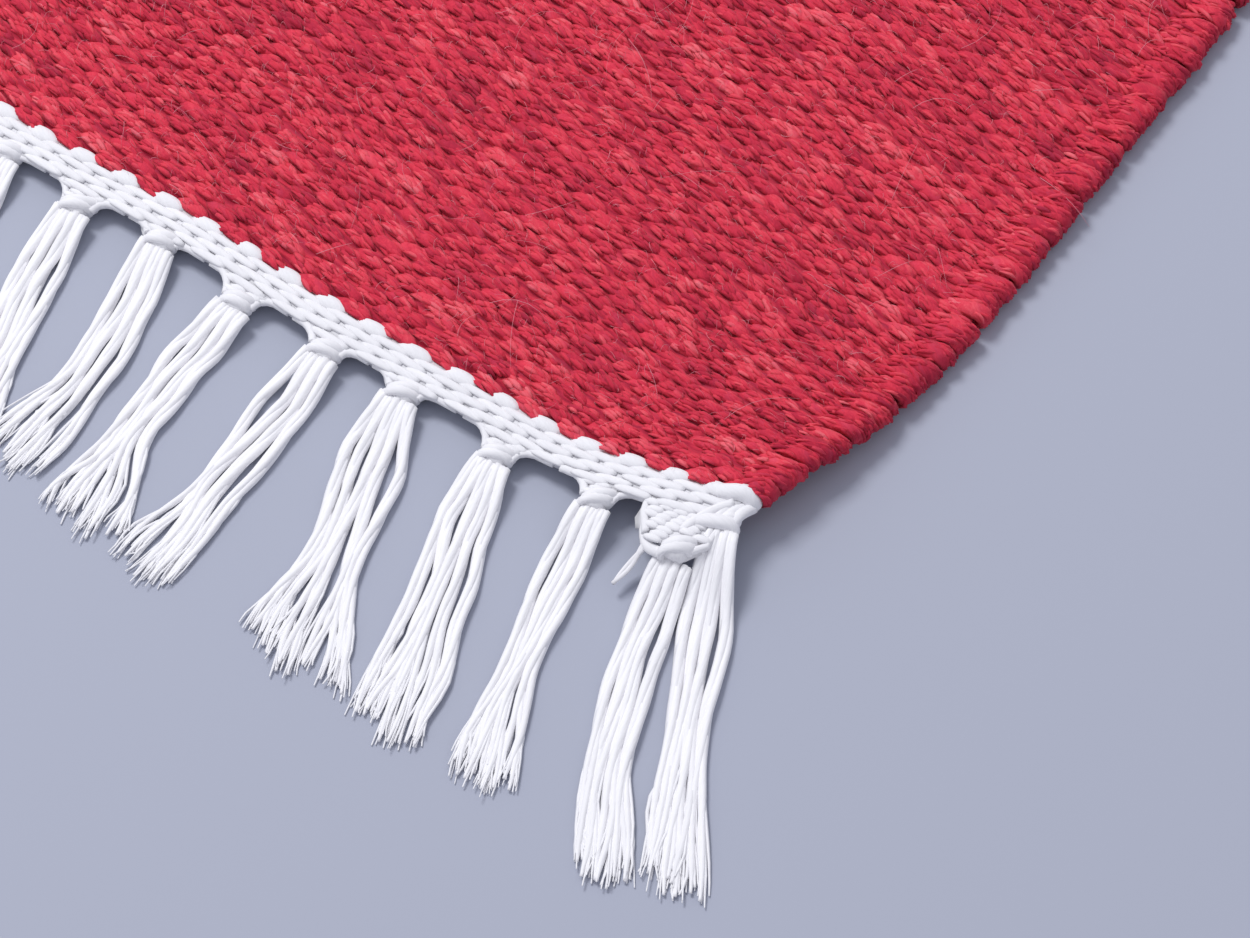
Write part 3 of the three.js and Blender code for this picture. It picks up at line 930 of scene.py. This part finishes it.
def cord_lines(kept, rings):
    """The middle line of every cord: sideways lean drift t^1.2 + bow sin(pi t), its place in
    the row of cords, and a slow wander of its own. The last step is short, so that the round
    shading goes on to the cut tip."""
    lines = []
    t = np.append(np.linspace(0, 0.99, rings - 1), 1)
    for i, (side, row, knot) in enumerate(TASSELS):
        if not kept(side, row):
            continue
        rng = default_rng(500 + i)
        from_side, out, drift, bow, fan, cords, length = row
        x0, y0 = side * (HALF_X - from_side), -HALF_Y - out - knot["along"] / 3
        root_gap = ROOT_SHARE * knot["across"] / (cords - 1)
        pinch = rng.uniform(0, 0.5)
        for j in range(cords):
            slot = j - (cords - 1) / 2
            tip_gap = max(CORD_GAP, fan / (cords - 1))
            reach = length - 1.6 * abs(slot) - (j % 2)
            gap = (root_gap + (CORD_GAP - root_gap) * np.minimum(1, t / 0.22)
                   + (tip_gap - CORD_GAP) * t * t) * (1 - pinch * np.exp(-((t - 0.6) / 0.2) ** 2))
            lean = drift * t ** 1.2 + bow * np.sin(np.pi * t)
            wander = (rng.uniform(-1.1, 1.1) * np.sin(TAU * (t * rng.uniform(0.8, 1.5)))
                      + rng.uniform(-0.4, 0.4) * np.sin(TAU * t * rng.uniform(2.2, 3.2)))
            lines.append(np.stack([x0 + lean + slot * gap + wander * ease(0, 0.3, t),
                                   y0 - reach * t, np.zeros(rings)], axis=-1))
    return np.array(lines), t


def plies(kept, rings, sides, seed):
    """The plies of all the cords: each circles its cord's line about once on its way to the
    tip, close to it at first and further out past half way, and lies down on the floor."""
    lines, t = cord_lines(kept, rings)
    rng = default_rng(seed)
    n, count = len(lines), 3
    each = (n, count, 1)
    loose = ease(0.4, 1.0, t)
    phase = rng.uniform(0, TAU, (n, 1, 1)) + np.arange(count)[:, None] * TAU / count
    angle = phase + TAU * t * rng.uniform(0.7, 1.4, (n, 1, 1))
    spread = 0.52 + rng.uniform(0.1, 1.0, each) * loose
    fray = rng.normal(0, 0.9, each) * ease(0.55, 1.0, t)
    ply = (0.97 - 0.32 * loose) * rng.uniform(0.9, 1.1, each)
    ply = ply * (1 + 0.06 * np.sin(40 * t + rng.uniform(0, 6, each)))
    drop = ease(0.0, 0.22, t)
    rest = 1.25 * (1 - loose) + 0.7 * loose
    root = 3.4
    x = lines[:, None, :, 0] + spread * np.cos(angle) + fray
    y = lines[:, None, :, 1] + rng.normal(0, 1.0, each) * t
    z = (root * (1 - drop) + rest * drop) + 0.4 * np.sin(angle) * (1 - 0.5 * loose)
    z = np.maximum(z, ply * 0.95 + 0.05)
    paths = path(x, y, z)
    girth = (ply * (1 - 0.5 * ease(0.9, 1.0, t))).reshape(-1, rings)
    tone = 0.9 + rng.normal(0, 0.05, n * count)
    return tubes(paths, girth, girth * 0.97, sides, tone, twist=0.3, seed=seed + 1), paths, t


def fine_ends(paths, t, seed, each):
    """Thin strands that leave the plies past the middle and run on beside them, waving a
    little, to end at slightly different lengths, painted lighter towards the tip."""
    rng = default_rng(seed)
    start = rng.integers(int(0.55 * len(t)), int(0.8 * len(t)), len(paths) * each)
    pick = np.repeat(np.arange(len(paths)), each)
    one = (len(pick), 1)
    s = np.append(np.linspace(0, 0.98, 7), 1)
    index = start[:, None] + (len(t) - 1 - start[:, None]) * s
    low = np.minimum(index.astype(int), len(t) - 2)
    part = (index - low)[..., None]
    line = paths[pick[:, None], low] * (1 - part) + paths[pick[:, None], low + 1] * part
    wave = rng.normal(0, 0.35, one) * np.sin(TAU * s * rng.uniform(0.6, 1.5, one))
    line[..., 0] += rng.normal(0, 1.0, one) * s ** 0.8 + wave
    line[..., 1] -= rng.uniform(-2.5, 1.8, one) * s
    line[..., 2] = np.maximum(line[..., 2] + rng.uniform(-0.6, 0.5, one) * s, 0.3)
    girth = rng.uniform(0.28, 0.46, one) * (1 - 0.65 * s ** 2)
    # painted light: the strands grow 0.3 lighter towards their tips
    tone = 0.9 + rng.normal(0, 0.05, one) + 0.3 * s
    return tubes(line, girth, girth, 4, tone, seed=seed + 1)


def lying_cords(part):
    """The share of the rug's lift that each point of the cords gives up: none close to the
    knot, and all of it from 24 mm off the wool, where they lie on the floor."""
    out = -HALF_Y - part["points"][:, 1]
    return ease(10, 24, out)


# %% Each end in its pieces
def by_the_corner(side, row):
    """Whether a tassel is one of those measured by the lifted corner."""
    return side > 0 and row[0] < 200


def end_pieces(name, node_name, turned):
    """The pieces of one end. The front one is finer, because it is seen close by. The back one
    has the same formulas, swung half round."""
    fine = not turned
    rings, sides = (8, 8) if fine else (6, 5)
    rows = joined(band_floats(rings, sides) + neck_floats(5, 6 if fine else 5)
                  + neck_cores(8) + side_cords(71, 9 if fine else 6, sides)
                  + loop_cords(8 if fine else 6) + (web_cords(8) if fine else []) + [band_core()])
    tied = joined(knots(81))
    far, far_paths, t = plies(lambda side, row: turned or not by_the_corner(side, row), 14, 5, 91)
    far_part = joined([far, fine_ends(far_paths, t, 95, 1)])
    parts = [("band", rows, 0.0), ("knots", tied, 0.0), ("fringe", far_part, None)]
    if fine:
        near, near_paths, t = plies(by_the_corner, 32, 6, 97)
        parts.append(("corner_fringe", joined([near, fine_ends(near_paths, t, 99, 6)]), None))
    made = []
    for title, part, limp in parts:
        drop = lying_cords(part) if limp is None else limp
        made.append(make_piece(title + "_" + name, part, cotton, node_name, drop,
                               turned))
    return made


front = end_pieces("front", "end_band_front", False)
back = end_pieces("back", "end_band_back", True)

# %% [markdown]
# ## Stray hairs
#
# Handspun wool is hairy. Fine pale hairs curl over the weave near the lifted corner. They are
# 0.04 mm thick in truth and drawn about twice as thick, so that they show.


# %% The hairs
def seen_region(rng, count):
    """Random places in the part of the wool where floats are single."""
    y = rng.uniform(0, 200, 6 * count)
    x = rng.uniform(70, 290, 6 * count)
    good = np.flatnonzero(near_corner(x, y - HALF_Y) > 0)[:count]
    return x[good], y[good] - HALF_Y


def hairs(count, reach, radius, seed):
    """Curved tubes with three sides: each runs in its own direction, bends by a steady turn and
    rises off the cloth as sin(pi s)."""
    rng = default_rng(seed)
    x, y = seen_region(rng, count)
    s = np.linspace(0, 1, 6)
    length = rng.uniform(*reach, (count, 1)) * rng.uniform(0.4, 1, (count, 1))
    heading = rng.normal(-0.35, 0.9, (count, 1)) + rng.integers(0, 2, (count, 1)) * np.pi
    bend = rng.normal(0, 0.8, (count, 1))
    angle = heading + bend * s
    step = length / (len(s) - 1)
    px = x[:, None] + np.cumsum(np.cos(angle) * step, axis=1) - step * np.cos(angle[:, :1])
    py = y[:, None] + np.cumsum(np.sin(angle) * step, axis=1) - step * np.sin(angle[:, :1])
    lift = rng.uniform(0.1, 1.0, (count, 1)) ** 2
    pz = WOOL_TOP + 0.75 + lift * 2.2 * np.sin(np.pi * s) + 0.2 * s
    girth = radius * rng.uniform(0.7, 1.3, (count, 1)) * (1 - 0.5 * s)
    return tubes(path(px, py, pz), girth, girth, 3, rng.uniform(0.7, 1.5, count), seed=seed + 1)


# pale pink, so that a hair shows as a light line on the red
hair_finish, _ = plain_finish("pale_wool_hair", "de8e9a", 0.6)
long_hair = hairs(70, reach=(6, 20), radius=0.055, seed=111)
fuzz = hairs(2000, reach=(1.2, 4.5), radius=0.045, seed=117)
wool_hairs = make_piece("wool_hairs", joined([long_hair, fuzz]), hair_finish)

# %% [markdown]

# %% [markdown]
# ## Floor, light and camera
#
# A plain pale floor lies under the rug. A soft light above it and to the left gives the weave
# its small shadows, and a pale sky fills them. The camera looks down at the lifted corner from
# where the photograph was taken. These sizes are in metres.

# %% The floor
FLOOR_HALF = 6
# bluish grey and matt, so that the white cords stand out
floor_finish, _ = plain_finish("pale_floor", "a5a9b8", 0.8)
floor_mesh = bpy.data.meshes.new("floor")
floor_mesh.from_pydata([(FLOOR_HALF * i, FLOOR_HALF * j, 0) for i, j in
                        ((-1, -1), (1, -1), (1, 1), (-1, 1))], [], [(0, 1, 2, 3)])
floor_mesh.materials.append(floor_finish)
floor = placed("floor", floor_mesh)
print("floor: %d m square" % (2 * FLOOR_HALF))

# %% The light and the sky
KEY_PLACE, KEY_AIM = Vector((-0.7, -0.2, 1.5)), Vector((0.2, -0.4, 0))
lamp = bpy.data.lights.new("key", "AREA")
lamp.size = 0.6
lamp.energy = 21
key = placed("key", lamp)
key.location = KEY_PLACE
key.rotation_euler = (KEY_AIM - KEY_PLACE).to_track_quat("-Z", "Y").to_euler()
world = bpy.data.worlds.new("studio")
world.use_nodes = True
sky = world.node_tree.nodes["Background"]
sky.inputs["Color"].default_value = rgb("f2f4ff")
sky.inputs["Strength"].default_value = 0.67
bpy.context.scene.world = world
bpy.context.scene.view_settings.view_transform = "Standard"
print("key light %.2f m from where it aims" % (KEY_AIM - KEY_PLACE).length)

# %% The camera
# fitted to the photograph: its width and focal length in pixels, and where the camera stood
PHOTO_WIDTH, FOCAL_LENGTH = 1250, 3400
AZIMUTH, ELEVATION = math.radians(35.9), math.radians(55.8)
back_way = Vector((math.sin(AZIMUTH) * math.cos(ELEVATION),
                   -math.cos(AZIMUTH) * math.cos(ELEVATION), math.sin(ELEVATION)))
lens = bpy.data.cameras.new("camera")
lens.sensor_width = 36
lens.lens = lens.sensor_width * FOCAL_LENGTH / PHOTO_WIDTH
lens.clip_start = 0.01
camera = placed("camera", lens)
camera.location = (0.4853, -0.7582, 0.565)
camera.rotation_euler = (-back_way).to_track_quat("-Z", "Y").to_euler()
bpy.context.scene.camera = camera
print("camera: lens %.1f mm" % lens.lens)
